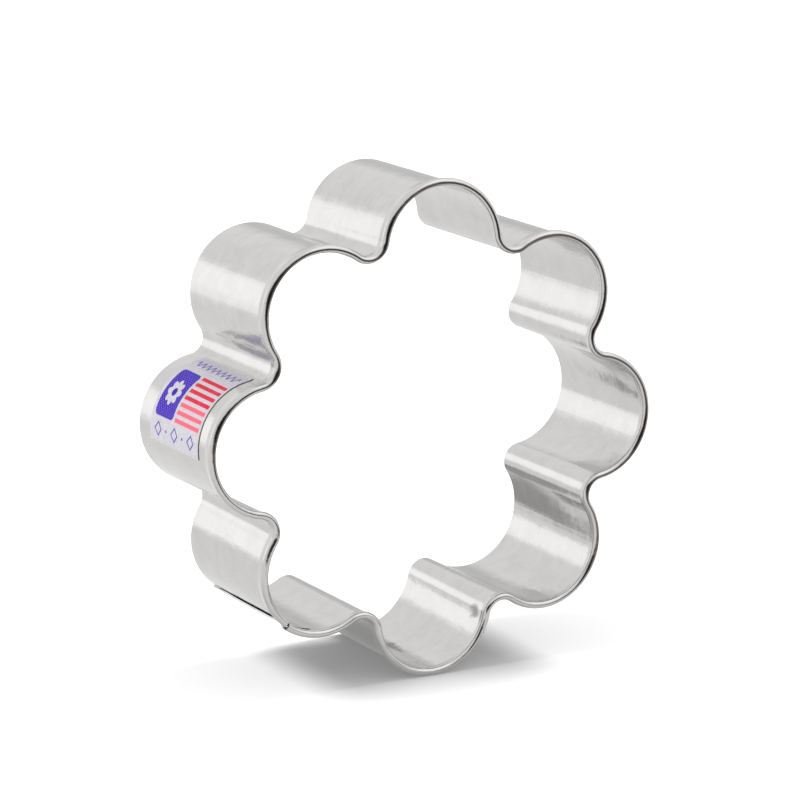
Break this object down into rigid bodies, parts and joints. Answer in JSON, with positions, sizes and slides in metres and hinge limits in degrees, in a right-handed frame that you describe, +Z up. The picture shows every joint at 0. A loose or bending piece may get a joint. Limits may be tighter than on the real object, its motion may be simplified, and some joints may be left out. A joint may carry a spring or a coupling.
{
  "type": "cookie cutter",
  "caption": "Scalloped flower cookie cutter: a tinplate strip with a rolled rim and a thin cutting edge, closed by a spot-welded lap, with a paper label outside.",
  "frame": {"origin": "on the ground under the middle of the part, which stands on its bottom petal", "axes": "+Z up, +X towards the right petal as seen from the rolled rim, +Y from the rolled rim back to the cutting edge"},
  "size_m": [0.0772, 0.0254, 0.0775],
  "materials": {
    "tinplate": "bright tin-plated steel, satin with a fine rolling grain, softly mirroring",
    "weld": "dull grey spot-weld mark, slightly hollow",
    "label_paper": "white coated paper, printed in red, blue and violet, semi-gloss"
  },
  "bodies": {
    "root": {"strip": "tinplate", "spot_welds": "weld", "label": "label_paper"}
  },
  "joints": []
}
